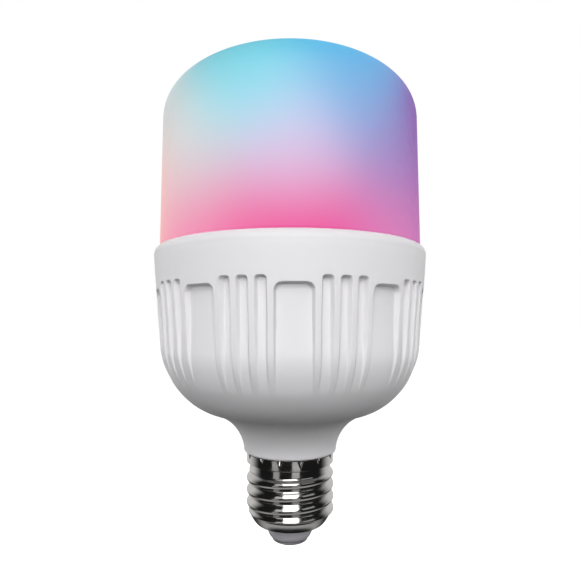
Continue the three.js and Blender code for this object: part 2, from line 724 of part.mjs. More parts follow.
// Fusible resistor: an upright barrel with wider end caps, beside the varistor.
function fuseResistor() {
  const { capRadius, barrelRadius, bottom, top, x } = FUSE;
  const capLength = 1.8;
  const taper = 0.6;
  const barrel = turned([
    [0, bottom],
    [capRadius, bottom],
    [capRadius, bottom + capLength],
    [barrelRadius, bottom + capLength + taper],
    [barrelRadius, top - capLength - taper],
    [capRadius, top - capLength],
    [capRadius, top],
    [0, top],
  ], 16);
  return barrel.translate(x, DRIVER_FRONT - GAP - capRadius, 0);
}

// Flat moulded package on the back of the driver board, with leads along both its sides.
function leadedPackage({ x, z, width, height, leads }) {
  const thickness = 1.8;
  const lead = { halfWidth: 0.25, thickness: 0.4, length: 1.1 };
  const near = DRIVER_BACK + GAP;
  const low = [x - width / 2, near, z - height / 2];
  const high = [x + width / 2, near + thickness, z + height / 2];
  const pieces = [block(low, high)];
  const reach = width / 2 + lead.length;
  for (let i = 0; i < leads; i += 1) {
    const centre = z + (i - (leads - 1) / 2) * (height / leads);
    const leadLow = [x - reach, near, centre - lead.halfWidth];
    const leadHigh = [x + reach, near + lead.thickness, centre + lead.halfWidth];
    pieces.push(block(leadLow, leadHigh));
  }
  return join(pieces);
}

// Row of square pins in a moulded strip that stands on the driver board's top edge.
function ledHeader() {
  const { pins, pitch, halfLength, halfWidth, stripHeight } = HEADER;
  const bottom = DRIVER_TOP + GAP;
  const halfPin = 0.32;
  const pinTop = LED_BOARD_TOP + 3.2;
  const pieces = [block([-halfLength, -halfWidth, bottom], [halfLength, halfWidth, bottom + stripHeight])];
  for (let i = 0; i < pins; i += 1) {
    const x = (i - (pins - 1) / 2) * pitch;
    pieces.push(block([x - halfPin, -halfPin, bottom + 1], [x + halfPin, halfPin, pinTop]));
  }
  return join(pieces);
}

// ---------------------------------------------------------------- radio module

function radioBoard() {
  const middle = (RADIO.bottom + RADIO.top) / 2;
  const outline = rectanglePoints(RADIO.width, RADIO.top - RADIO.bottom, 0, middle);
  return uprightPlate(outline, [], RADIO.front, RADIO.back);
}

// Pressed metal can, open towards the board.
function radioShield() {
  const { halfWidth, bottom, top, depth, wall } = RADIO_SHIELD;
  const near = RADIO.back;
  const far = near + depth;
  const outer = block([-halfWidth, near, bottom], [halfWidth, far, top]);
  const low = [wall - halfWidth, near - 1, bottom + wall];
  const high = [halfWidth - wall, far - wall, top - wall];
  return cut(outer, [block(low, high)]);
}

// Folded strip antenna on the part of the board that stands above the heat sink.
function radioAntenna() {
  const { strip, turns, step, bottom, top, thickness } = RADIO_ANTENNA;
  const left = (-(turns - 1) * step) / 2;
  const near = RADIO.back;
  const far = near + thickness;
  const pieces = [];
  for (let i = 0; i < turns; i += 1) {
    const x = left + i * step;
    pieces.push(block([x - strip / 2, near, bottom], [x + strip / 2, far, top]));
    if (i === turns - 1) break;
    const height = i % 2 === 0 ? top - strip : bottom;
    pieces.push(block([x - strip / 2, near, height], [x + step + strip / 2, far, height + strip]));
  }
  return join(pieces);
}

// Spacer strip with pins between the driver board and the radio board.
function radioHeader() {
  const { halfLength, bottom, top } = RADIO_HEADER;
  return block([-halfLength, DRIVER_BACK + GAP, bottom], [halfLength, RADIO.front - GAP, top]);
}

// ---------------------------------------------------------------- assembly

const lamp = new THREE.Group();
lamp.name = 'smart_light_bulb';

function add(name, geometry, material) {
  const mesh = new THREE.Mesh(geometry, material());
  mesh.name = name;
  lamp.add(mesh);
}

// A node's name with a two-digit number.
function numbered(stem, i) {
  return `${stem}_${String(i + 1).padStart(2, '0')}`;
}

add('diffuser_dome', diffuserDome(), opalPlastic);
add('diffuser_seal_ring', diffuserSealRing(), silicone);
add('housing_shell', housingShell(), whitePlastic);
add('screw_shell', screwShell(), nickel);
add('cap_insulator', capInsulator(), greyPlastic);
add('centre_contact', centreContact(), tinnedMetal);

add('heat_sink_cup', heatSinkCup(), castAluminium);
add('thermal_pad', thermalPad(), thermalSilicone);
add('led_board', ledBoard(), whiteSolderMask);
add('led_socket', ledSocket(), whitePlastic);
screwPlaces().forEach(([x, y], i) => add(numbered('board_screw', i), boardScrew(x, y), zincSteel));

for (let i = 0; i < WHITE_LED.pairs; i += 1) {
  const step = 180 / WHITE_LED.pairs;
  const { ringRadius } = WHITE_LED;
  add(numbered('led_warm', i), onRing(whiteEmitter(), ringRadius, 2 * i * step), warmPhosphor);
  add(numbered('led_cool', i), onRing(whiteEmitter(), ringRadius, (2 * i + 1) * step), coolPhosphor);
}
for (let i = 0; i < COLOUR_LED.count; i += 1) {
  const angle = (360 * (i + 0.5)) / COLOUR_LED.count;
  add(numbered('led_rgb', i), onRing(colourEmitter(), COLOUR_LED.ringRadius, angle), clearEpoxy);
}

add('driver_board', driverBoard(), greenSolderMask);
add('bulk_capacitor', electrolyticCan(BULK_CAPACITOR), capacitorSleeve);
add('output_capacitor', electrolyticCan(OUTPUT_CAPACITOR), capacitorSleeve);
add('film_capacitor', filmCapacitor(), filmYellow);
add('transformer_core', transformerCore(), ferrite);
add('transformer_winding', transformerWinding(), windingTape);
add('emi_choke', emiChoke(), ferrite);
add('varistor', varistor(), blueLacquer);
add('fuse_resistor', fuseResistor(), greenLacquer);
add('bridge_rectifier', leadedPackage(RECTIFIER), blackEpoxy);
add('driver_chip', leadedPackage(DRIVER_CHIP), blackEpoxy);
add('led_header', ledHeader(), gold);

add('radio_board', radioBoard(), blueSolderMask);
add('radio_shield', radioShield(), zincSteel);
add('radio_antenna', radioAntenna(), gold);
add('radio_header', radioHeader(), blackPlastic);

add('live_wire', wire(LIVE_WIRE, 20), brownSleeve);
add('neutral_wire', wire(NEUTRAL_WIRE, 24), blueSleeve);

export default lamp;
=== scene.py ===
import json
from math import cos, pi, radians, sin

import bpy
import numpy as np
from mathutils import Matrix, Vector


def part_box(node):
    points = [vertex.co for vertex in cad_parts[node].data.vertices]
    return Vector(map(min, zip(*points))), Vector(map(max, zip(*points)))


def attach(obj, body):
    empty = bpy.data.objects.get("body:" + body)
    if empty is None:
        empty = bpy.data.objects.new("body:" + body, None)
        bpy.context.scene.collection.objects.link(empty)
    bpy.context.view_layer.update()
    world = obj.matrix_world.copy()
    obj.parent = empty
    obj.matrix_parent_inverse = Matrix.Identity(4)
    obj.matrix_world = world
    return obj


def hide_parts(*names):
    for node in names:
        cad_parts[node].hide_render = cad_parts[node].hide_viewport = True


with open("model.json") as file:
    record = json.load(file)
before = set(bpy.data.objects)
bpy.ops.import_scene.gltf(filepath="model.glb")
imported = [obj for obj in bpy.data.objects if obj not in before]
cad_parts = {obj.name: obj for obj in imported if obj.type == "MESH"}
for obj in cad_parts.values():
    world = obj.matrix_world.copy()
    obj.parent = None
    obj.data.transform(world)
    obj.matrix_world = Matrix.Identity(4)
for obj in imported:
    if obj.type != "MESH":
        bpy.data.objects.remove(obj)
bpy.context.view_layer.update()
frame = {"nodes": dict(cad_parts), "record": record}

# The lamp stands on its cap along +Z, with its front towards -Y. Lengths are in metres.
MM = 0.001
BODY = "root"


# ---------------------------------------------------------------- sizes

def top_of(node):
    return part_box(node)[1][2]


def bottom_of(node):
    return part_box(node)[0][2]


def radius_of(node):
    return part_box(node)[1][0]


COLLAR_RADIUS = radius_of("housing_shell")
COLLAR_TOP = top_of("housing_shell")
DOME_TOP = top_of("diffuser_dome")
CAP_TOP = top_of("screw_shell")
CAP_RADIUS = radius_of("screw_shell")
CONTACT_RADIUS = radius_of("centre_contact")
SPIGOT_BOTTOM = bottom_of("housing_shell")

# Housing outline: each point is (radius, height), and each curve has a pair of handles.
NECK_BOTTOM = CAP_TOP + 0.3 * MM
NECK_RADIUS = 13.97 * MM
NECK_EDGE = 0.9 * MM
NECK_HANDLES = ((14.04 * MM, 30.03 * MM), (15.57 * MM, 37.18 * MM))
SHOULDER = (24.38 * MM, 39.71 * MM)
BOWL_HANDLES = ((33.04 * MM, 42.76 * MM), (37.97 * MM, 52.83 * MM))
SIDE_BOTTOM = (38.32 * MM, 58.39 * MM)
SIDE_TOP = (COLLAR_RADIUS, 84.9 * MM)
RIM_HANDLES = ((COLLAR_RADIUS, 86.1 * MM), (39.3 * MM, 87.1 * MM))
RIM = (38.4 * MM, COLLAR_TOP)

# Housing inside, in the same way.
COLLAR_BORE = 37.7 * MM
COLLAR_EDGE = 0.2 * MM
LEDGE = 82.9 * MM
LEDGE_BORE = 36.4 * MM
INSIDE_SIDE_BOTTOM = (34.5 * MM, 57.0 * MM)
INSIDE_BOWL_HANDLES = ((33.4 * MM, 47.2 * MM), (24.0 * MM, 44.0 * MM))
INSIDE_SHOULDER = (16.0 * MM, 40.6 * MM)
SPIGOT_RADIUS = 11.4 * MM
SPIGOT_BORE = 9.8 * MM
INSIDE_NECK_HANDLES = ((12.0 * MM, 38.8 * MM), (SPIGOT_BORE, 36.0 * MM))
INSIDE_NECK = (SPIGOT_BORE, 31.5 * MM)

# Recess pattern: one wide window and three slots in each period round the housing.
PERIODS = 10
PATTERN_TURN = radians(1.5)
WINDOW_TOP = 75.0 * MM
WINDOW_HALF = 4.7 * MM
WINDOW_CORNER = 2.0 * MM
SLOT_TOP = 76.6 * MM
SLOT_HALF = 1.4 * MM
SLOT_CORNER = 0.85 * MM
SLOT_SPACING = radians(6.6)
SLOT_SIDES = (-1, 0, 1)
RECESS_BOTTOM = 48.5 * MM
RECESS_FOOT = 36.0 * MM  # the housing's radius where the recesses start
RECESS_DEPTH = 1.5 * MM
WALL_OUT = 0.15 * MM  # the rounded edge reaches this far outside a recess's outline
WALL_IN = 0.45 * MM  # the wall and its fillet reach this far inside it
EDGE_STEPS = np.array([-0.3, -0.2, -0.1, 0.0, 0.1, 0.2, 0.3, 0.45, 0.6, 0.8]) * MM  # mesh lines at an edge
WINDOW_STEPS = np.array([0.9, 1.8, 2.7, 3.1, 3.5]) * MM  # mesh lines across a window's floor
SLOT_STEP = 0.3 * MM  # the one across a slot's floor

# Diffuser.
DOME_BASE = (38.4 * MM, COLLAR_TOP + 0.3 * MM)
DOME_SHOULDER = (37.5 * MM, 123.4 * MM)
DOME_EXPONENT = 2.3
DOME_WALL = 1.6 * MM
DOME_EDGE = 0.25 * MM
SKIRT_RADIUS = 37.4 * MM
SKIRT_BOTTOM = bottom_of("diffuser_dome")

# Screw cap.
BAND_RADIUS = 13.1 * MM
BAND_BOTTOM = 24.2 * MM
THREAD_TOP = 23.7 * MM
THREAD_BOTTOM = 8.6 * MM
THREAD_ROOT = 12.2 * MM
THREAD_PITCH = 3.629 * MM
THREAD_CREST_HEIGHT = 10.1 * MM  # of the lowest crest at +X
THREAD_POWER = 0.65  # 1 is a plain wave; less widens the crests and narrows the grooves
THREAD_RUN_OUT = (0.35, 0.85)  # the thread fades out between these shares of a pitch below its top
SHEET = 0.35 * MM
CONE_HANDLES = ((11.75 * MM, 7.7 * MM), (11.3 * MM, 7.0 * MM))
CONE_BOTTOM = (10.95 * MM, 6.5 * MM)
LIP_HANDLES = ((10.4 * MM, 5.7 * MM), (9.5 * MM, 5.2 * MM))
LIP_EDGE = (7.3 * MM, 5.2 * MM)
LIP_EDGE_TOP = 5.58 * MM
LIP_BORE = 6.95 * MM  # handles of the rounded edge, which itself stops a little short of them
INSIDE_LIP = ((8.6 * MM, 5.7 * MM), (9.8 * MM, 6.3 * MM), (10.9 * MM, 7.6 * MM))
CRIMP_MARKS = 14
CRIMP_PHASE = radians(13.0)
CRIMP_LENGTH = 1.7 * MM
CRIMP_HALF = 0.7 * MM
CRIMP_DEPTH = 0.5 * MM
INSULATOR_FOOT = 6.7 * MM
INSULATOR_HOLE = 2.1 * MM
CONTACT_FLAT = 4.3 * MM
CONTACT_TOP = 1.0 * MM
RIVET_RADIUS = 1.8 * MM


# ---------------------------------------------------------------- mesh tools

def smoothstep(low, high, value):
    t = np.clip((value - low) / (high - low), 0.0, 1.0)
    return t * t * (3.0 - 2.0 * t)


def bezier(start, start_pull, end_pull, end, count):
    """Points of a cubic curve, without its first one."""
    t = np.linspace(0.0, 1.0, count + 1)[1:, None]
    p = [np.array(point) for point in (start, start_pull, end_pull, end)]
    curve = (1 - t) ** 3 * p[0] + 3 * (1 - t) ** 2 * t * p[1] + 3 * (1 - t) * t * t * p[2] + t ** 3 * p[3]
    return [tuple(point) for point in curve]


def straight(start, end, count):
    """Evenly spaced points from start to end, without the first one."""
    t = np.linspace(0.0, 1.0, count + 1)[1:, None]
    return [tuple(point) for point in np.array(start) * (1 - t) + np.array(end) * t]


def outward(obj):
    """Turns the faces of a closed mesh outwards if they point in."""
    mesh = obj.data
    count = len(mesh.vertices)
    places = np.empty(count * 3)
    mesh.vertices.foreach_get("co", places)
    places = places.reshape(-1, 3)
    mesh.calc_loop_triangles()
    corners = np.empty(len(mesh.loop_triangles) * 3, dtype=np.int32)
    mesh.loop_triangles.foreach_get("vertices", corners)
    a, b, c = (places[corners.reshape(-1, 3)[:, i]] for i in range(3))
    if np.einsum("ij,ij->i", a, np.cross(b, c)).sum() < 0:
        mesh.flip_normals()


def add_piece(name, vertices, faces, sharp_angle=radians(40)):
    mesh = bpy.data.meshes.new(name)
    mesh.from_pydata([tuple(v) for v in vertices], [], faces)
    mesh.update()
    obj = bpy.data.objects.new(name, mesh)
    bpy.context.collection.objects.link(obj)
    outward(obj)
    mesh.shade_smooth()
    mesh.set_sharp_from_angle(angle=sharp_angle)
    return obj


def ring_grid(name, radii, heights, angles, sharp_angle=radians(40)):
    """Closed skin round the axis. radii is rows x columns, heights one per row; rows close on themselves."""
    rows, columns = radii.shape
    x = radii * np.sin(angles)
    y = -radii * np.cos(angles)
    z = np.broadcast_to(np.array(heights)[:, None], radii.shape)
    vertices = np.stack([x, y, z], axis=-1).reshape(-1, 3)
    faces = []
    for i in range(rows):
        low = i * columns
        high = ((i + 1) % rows) * columns
        for j in range(columns):
            k = (j + 1) % columns
            faces.append((low + j, low + k, high + k, high + j))
    return add_piece(name, vertices, faces, sharp_angle)


def capped_turning(name, profile, columns, sharp_angle=radians(40)):
    """Solid of revolution whose profile starts and ends on the axis."""
    inner = [p for p in profile if p[0] > 0]
    angles = np.linspace(0, 2 * pi, columns, endpoint=False)
    vertices = [(r * sin(a), -r * cos(a), z) for r, z in inner for a in angles]
    start = len(vertices)
    vertices += [(0.0, 0.0, profile[0][1]), (0.0, 0.0, profile[-1][1])]
    faces = []
    for j in range(columns):
        k = (j + 1) % columns
        faces.append((start, k, j))
        last = (len(inner) - 1) * columns
        faces.append((start + 1, last + j, last + k))
        for i in range(len(inner) - 1):
            low, high = i * columns, (i + 1) * columns
            faces.append((low + j, low + k, high + k, high + j))
    return add_piece(name, vertices, faces, sharp_angle)


# ---------------------------------------------------------------- material tools

def linear(code):
    """Linear colour of an sRGB hex code such as "e6e6e7"."""
    channels = [int(code[i:i + 2], 16) / 255 for i in (0, 2, 4)]
    return tuple(c / 12.92 if c <= 0.04045 else ((c + 0.055) / 1.055) ** 2.4 for c in channels)


class Nodes:
    """Short calls for building one material's node tree."""

    def __init__(self, name):
        self.material = bpy.data.materials.new(name)
        self.material.use_nodes = True
        self.tree = self.material.node_tree
        self.shader = self.tree.nodes["Principled BSDF"]
        self.place = self.add("ShaderNodeTexCoord").outputs["Object"]

    def add(self, kind, **settings):
        node = self.tree.nodes.new(kind)
        for key, value in settings.items():
            setattr(node, key, value)
        return node

    def feed(self, socket, value):
        """Links a socket to another, or sets its value."""
        if isinstance(value, bpy.types.NodeSocket):
            self.tree.links.new(value, socket)
        else:
            socket.default_value = value

    def math(self, operation, *values):
        node = self.add("ShaderNodeMath", operation=operation)
        for socket, value in zip(node.inputs, values):
            self.feed(socket, value)
        return node.outputs[0]

    def fade(self, value, low, high, bottom=0.0, top=1.0):
        node = self.add("ShaderNodeMapRange", interpolation_type="SMOOTHSTEP")
        self.feed(node.inputs["Value"], value)
        for key, number in (("From Min", low), ("From Max", high), ("To Min", bottom), ("To Max", top)):
            node.inputs[key].default_value = number
        return node.outputs["Result"]

    def height(self):
        """Height on the lamp."""
        node = self.add("ShaderNodeSeparateXYZ")
        self.feed(node.inputs[0], self.place)
        return node.outputs["Z"]

    def grey(self, value):
        """Colour with the value in all three channels."""
        node = self.add("ShaderNodeCombineColor")
        for socket in list(node.inputs)[:3]:
            self.feed(socket, value)
        return node.outputs[0]

    def noise(self, scale, detail=3.0, stretch=(1, 1, 1)):
        """Grey noise, scale in bumps per metre."""
        moved = self.add("ShaderNodeMapping")
        self.feed(moved.inputs["Vector"], self.place)
        moved.inputs["Scale"].default_value = stretch
        node = self.add("ShaderNodeTexNoise")
        self.feed(node.inputs["Vector"], moved.outputs[0])
        node.inputs["Scale"].default_value = scale
        node.inputs["Detail"].default_value = detail
        return node.outputs["Fac"]

    def tones(self, factor, first, second):
        """Blend of two hex codes."""
        return self.mix(factor, (*linear(first), 1.0), (*linear(second), 1.0))

    def mix(self, factor, a, b, blend="MIX"):
        node = self.add("ShaderNodeMix", data_type="RGBA", blend_type=blend)
        self.feed(node.inputs["Factor"], factor)
        self.feed(node.inputs["A"], a)
        self.feed(node.inputs["B"], b)
        return node.outputs["Result"]

    def bump(self, height, distance):
        node = self.add("ShaderNodeBump")
        self.feed(node.inputs["Height"], height)
        node.inputs["Distance"].default_value = distance
        node.inputs["Strength"].default_value = 1.0
        self.feed(self.shader.inputs["Normal"], node.outputs["Normal"])

    def set(self, **values):
        """Sets the shader's sockets; an underscore in a key stands for a space."""
        for key, value in values.items():
            self.feed(self.shader.inputs[key.replace("_", " ")], value)
        return self.material


def speckled(name, codes, roughness, metallic):
    """Plain moulded, dipped or plated finish: two close tones, uneven gloss and a fine grain."""
    n = Nodes(name)
    tone = n.noise(180.0)
    grain = n.noise(3600.0, detail=2.0)
    n.bump(grain, 0.01 * MM)
    gloss = n.fade(tone, 0.3, 0.7, roughness - 0.05, roughness + 0.05)
    return n.set(Base_Color=n.tones(tone, *codes), Roughness=gloss, Metallic=metallic)


# ---------------------------------------------------------------- diffuser

# Spots of coloured light that blend over the diffuser: the direction from the axis (degrees, 0 is the
# front and 90 is +X), the height, the distance from the axis and the spot's reach (mm), and its colour.
GLOW_STRENGTH = 0.9
GLOW_SURFACE = 0.14  # how much of the same colour the unlit surface has
GLOW_SPOTS = {
    "hot_pink": (0, 87, 38, 17, "ee2088"),
    "pink": (-40, 88, 38, 16, "f480b0"),
    "peach": (-78, 98, 38, 20, "f0b8b0"),
    "orchid": (45, 87, 38, 16, "e080b8"),
    "violet": (75, 94, 38, 16, "b060a8"),
    "lavender": (0, 106, 38, 14, "d8d0f0"),
    "mist": (-40, 108, 38, 15, "d0e0e0"),
    "heather": (42, 108, 38, 14, "a090c8"),
    "ice": (-15, 122, 38, 14, "80e0f0"),
    "sky": (25, 122, 38, 14, "78b8e8"),
    "purple": (68, 116, 38, 17, "8048a0"),
    "sand": (-72, 126, 36, 14, "c0d0d0"),
    "teal": (-25, 138, 28, 14, "50a8b8"),
    "azure": (20, 138, 28, 14, "18b0e0"),
    "back_violet": (120, 106, 38, 20, "a080c8"),
    "back_pearl": (-120, 108, 38, 20, "e0c0d0"),
    "back_lilac": (180, 96, 38, 28, "d890c0"),
    "back_lagoon": (180, 130, 30, 24, "78c0e0"),
}


def glow_colour(n):
    """Average of the spots' colours, each weighted by how near its spot is."""
    total, weights = None, None
    for azimuth, height, radius, reach, code in GLOW_SPOTS.values():
        turn = radians(azimuth)
        spot = (radius * sin(turn) * MM, -radius * cos(turn) * MM, height * MM)
        distance = n.add("ShaderNodeVectorMath", operation="DISTANCE")
        n.feed(distance.inputs[0], n.place)
        n.feed(distance.inputs[1], spot)
        away = n.math("DIVIDE", distance.outputs["Value"], reach * MM)
        weight = n.math("EXPONENT", n.math("MULTIPLY", n.math("MULTIPLY", away, away), -1.0))
        share = n.add("ShaderNodeVectorMath", operation="SCALE")
        n.feed(share.inputs[0], linear(code))
        n.feed(share.inputs["Scale"], weight)
        if total is None:
            total, weights = share.outputs[0], weight
            continue
        both = n.add("ShaderNodeVectorMath", operation="ADD")
        n.feed(both.inputs[0], total)
        n.feed(both.inputs[1], share.outputs[0])
        total, weights = both.outputs[0], n.math("ADD", weights, weight)
    average = n.add("ShaderNodeVectorMath", operation="SCALE")
    n.feed(average.inputs[0], total)
    n.feed(average.inputs["Scale"], n.math("DIVIDE", 1.0, weights))
    return average.outputs[0]


def glow_material():
    n = Nodes("opal_glow")
    colour = glow_colour(n)
    haze = n.noise(420.0, detail=2.0)
    gloss = n.fade(haze, 0.3, 0.7, 0.5, 0.6)
    n.bump(n.noise(3500.0, detail=2.0), 0.004 * MM)
    surface = n.mix(1.0, colour, (GLOW_SURFACE, GLOW_SURFACE, GLOW_SURFACE, 1.0), blend="MULTIPLY")
    n.set(Emission_Color=colour, Emission_Strength=GLOW_STRENGTH)
    return n.set(Base_Color=surface, Roughness=gloss, Specular_IOR_Level=0.15)


def dome_arc(inset, count):
    """Rounded end of the dome, from its shoulder to the axis."""
    radius = DOME_SHOULDER[0] - inset
    rise = DOME_TOP - DOME_SHOULDER[1] - inset
    turn = np.linspace(0.0, pi / 2, count + 1)
    power = 2 / DOME_EXPONENT
    r = radius * np.cos(turn) ** power
    z = DOME_SHOULDER[1] + rise * np.sin(turn) ** power
    r[-1] = 0.0
    return list(zip(r, z))


def make_diffuser():
    skirt_bore = SKIRT_RADIUS - DOME_WALL
    radius, base = DOME_BASE
    profile = dome_arc(0.0, 48)[::-1]
    profile += straight(profile[-1], (radius, base + DOME_EDGE), 24)
    profile += [(radius - DOME_EDGE, base), (SKIRT_RADIUS, base), (SKIRT_RADIUS, SKIRT_BOTTOM + DOME_EDGE)]
    profile += [(SKIRT_RADIUS - DOME_EDGE, SKIRT_BOTTOM), (skirt_bore, SKIRT_BOTTOM), (skirt_bore, base)]
    profile += dome_arc(DOME_WALL, 32)
    obj = capped_turning("opal_diffuser", profile, 160)
    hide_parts("diffuser_dome")
    return obj, glow_material(), "opal_diffuser"


# ---------------------------------------------------------------- housing

def housing_outline():
    """(radius, height) points up the outside from the neck to the rim, fine where the recesses end."""
    neck_top = (NECK_RADIUS, NECK_BOTTOM + NECK_EDGE)
    points = [(NECK_RADIUS - NECK_EDGE, NECK_BOTTOM)]
    points += bezier(points[-1], (NECK_RADIUS - 0.35 * NECK_EDGE, NECK_BOTTOM),
                     (NECK_RADIUS, NECK_BOTTOM + 0.35 * NECK_EDGE), neck_top, 5)
    points += bezier(neck_top, *NECK_HANDLES, SHOULDER, 20)
    points += bezier(SHOULDER, *BOWL_HANDLES, SIDE_BOTTOM, 44)
    near_top = -EDGE_STEPS[::-1]
    corner_bottom = WINDOW_TOP - WINDOW_CORNER - 0.3 * MM
    heights = list(np.linspace(SIDE_BOTTOM[1], corner_bottom, 9)[1:])
    heights += list(np.linspace(corner_bottom, WINDOW_TOP + near_top[0], 6)[1:-1])
    heights += list(WINDOW_TOP + near_top)
    heights += [(WINDOW_TOP + SLOT_TOP) / 2 - 0.25 * MM]
    heights += list(SLOT_TOP + near_top)
    heights += list(np.linspace(heights[-1], SIDE_TOP[1], 7)[1:])
    points += [(side_radius(h), h) for h in heights]
    points += bezier(SIDE_TOP, *RIM_HANDLES, RIM, 12)
    return points


def side_radius(height):
    along = (height - SIDE_BOTTOM[1]) / (SIDE_TOP[1] - SIDE_BOTTOM[1])
    return SIDE_BOTTOM[0] + (SIDE_TOP[0] - SIDE_BOTTOM[0]) * along


def recess_columns():
    """Angle of a middle line and sideways distance from it for every column, ordered round the housing."""
    window = [*(WINDOW_HALF - EDGE_STEPS), *WINDOW_STEPS]
    slot = [*(SLOT_HALF - EDGE_STEPS), SLOT_STEP]
    period = 2 * pi / PERIODS
    slots = [period / 2 + i * SLOT_SPACING for i in SLOT_SIDES]
    columns = [(0.0, side * across) for across in window for side in (-1, 1)] + [(0.0, 0.0)]
    for middle in slots:
        columns += [(middle, side * across) for across in slot for side in (-1, 1)] + [(middle, 0.0)]
    edge = WINDOW_HALF / SIDE_TOP[0]
    ribs = [(edge + slots[0] - SLOT_HALF / SIDE_TOP[0]) / 2, slots[0] + SLOT_SPACING / 2]
    columns += [(angle, 0.0) for rib in ribs for angle in (rib, period - rib)]
    columns.sort(key=lambda column: column[0] + column[1] / SIDE_TOP[0])
    middles = np.array([column[0] for column in columns])
    across = np.array([column[1] for column in columns])
    turns = np.arange(PERIODS) * period
    return (middles[None, :] + turns[:, None]).ravel(), np.tile(across, PERIODS)


def outline_distance(across, height, half, top, corner):
    """Signed distance into a recess outline, positive inside, with round top corners and no bottom."""
    dx = np.abs(across) - (half - corner)
    dy = height - (top - corner)
    outside = np.hypot(np.maximum(dx, 0.0), np.maximum(dy, 0.0))
    return corner - (outside + np.minimum(np.maximum(dx, dy), 0.0))


def recess_depth(radius, height, angles):
    """How far the surface is pushed in at each column of one row; the recesses run out in the bowl."""
    period = 2 * pi / PERIODS
    up = np.clip((height - RECESS_BOTTOM) / (WINDOW_TOP - RECESS_BOTTOM), 0.0, 1.0)
    floor = RECESS_DEPTH * sin(pi / 2 * up)
    recesses = [(0.0, WINDOW_HALF, WINDOW_TOP, WINDOW_CORNER)]
    recesses += [(period / 2 + i * SLOT_SPACING, SLOT_HALF, SLOT_TOP, SLOT_CORNER) for i in SLOT_SIDES]
    share = np.zeros_like(angles)
    for middle, half, top, corner in recesses:
        offset = (angles - middle + period / 2) % period - period / 2
        inside = outline_distance(radius * np.sin(offset), height, half, top, corner)
        share = np.maximum(share, smoothstep(-WALL_OUT, WALL_IN, inside))
    return floor * share


def make_housing():
    outer = housing_outline()
    inner = [(COLLAR_BORE + COLLAR_EDGE, COLLAR_TOP), (COLLAR_BORE, COLLAR_TOP - COLLAR_EDGE)]
    inner += [(COLLAR_BORE, LEDGE), (LEDGE_BORE, LEDGE), INSIDE_SIDE_BOTTOM]
    inner += bezier(INSIDE_SIDE_BOTTOM, *INSIDE_BOWL_HANDLES, INSIDE_SHOULDER, 6)
    inner += bezier(INSIDE_SHOULDER, *INSIDE_NECK_HANDLES, INSIDE_NECK, 4)
    inner += [(SPIGOT_BORE, SPIGOT_BOTTOM), (SPIGOT_RADIUS, SPIGOT_BOTTOM), (SPIGOT_RADIUS, NECK_BOTTOM)]
    middles, across = recess_columns()
    angles = [middles + np.arcsin(across / max(r, RECESS_FOOT)) for r, _ in outer + inner]
    rows = [r - recess_depth(r, z, turn) for (r, z), turn in zip(outer, angles)]
    rows += [np.full_like(middles, r) for r, _ in inner]
    heights = [z for _, z in outer + inner]
    obj = ring_grid("ribbed_housing", np.array(rows), heights, np.array(angles) + PATTERN_TURN, radians(50))
    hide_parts("housing_shell")
    return obj, housing_material(), "white_housing"


def housing_material():
    """White plastic, with painted shade that greys the upward-facing rounded rim."""
    n = Nodes("white_moulded_plastic")
    cloud = n.noise(60.0, detail=4.0)
    grain = n.noise(2600.0, detail=3.0)
    # Painted shade: the colour falls to 0.82 of itself up the rounded rim, to tone down the light from above
    # on that upward-facing round.
    rim = n.fade(n.height(), SIDE_TOP[1] - 0.9 * MM, COLLAR_TOP - 0.4 * MM, 1.0, 0.82)
    colour = n.mix(1.0, n.tones(cloud, "eeedef", "e9e8ea"), n.grey(rim), blend="MULTIPLY")
    n.bump(grain, 0.006 * MM)
    gloss = n.fade(cloud, 0.3, 0.7, 0.38, 0.5)
    return n.set(Base_Color=colour, Roughness=gloss, Specular_IOR_Level=0.15)


# ---------------------------------------------------------------- screw cap

def thread_radius(height, angles):
    """Outer radius of the right-hand thread in one row."""
    crest = THREAD_CREST_HEIGHT + THREAD_PITCH * (angles - pi / 2) / (2 * pi)
    wave = 0.5 + 0.5 * np.cos(2 * pi * (height - crest) / THREAD_PITCH)
    top_fade = smoothstep(*THREAD_RUN_OUT, (THREAD_TOP - height) / THREAD_PITCH)
    bottom_fade = smoothstep(0.0, THREAD_PITCH / 3, height - THREAD_BOTTOM)
    return THREAD_ROOT + (CAP_RADIUS - THREAD_ROOT) * wave ** THREAD_POWER * top_fade * bottom_fade


def crimp_dent(height, angles):
    """Depth of the punch marks that lock the shell to the neck: triangles that taper downwards."""
    step = 2 * pi / CRIMP_MARKS
    offset = ((angles - CRIMP_PHASE + step / 2) % step - step / 2) * BAND_RADIUS
    drop = (CAP_TOP - height) / CRIMP_LENGTH
    half = CRIMP_HALF * max(0.0, 1.0 - drop)
    if half <= 0.0:
        return np.zeros_like(angles)
    return CRIMP_DEPTH * (1.0 - drop) * np.clip(1.0 - np.abs(offset) / half, 0.0, 1.0)


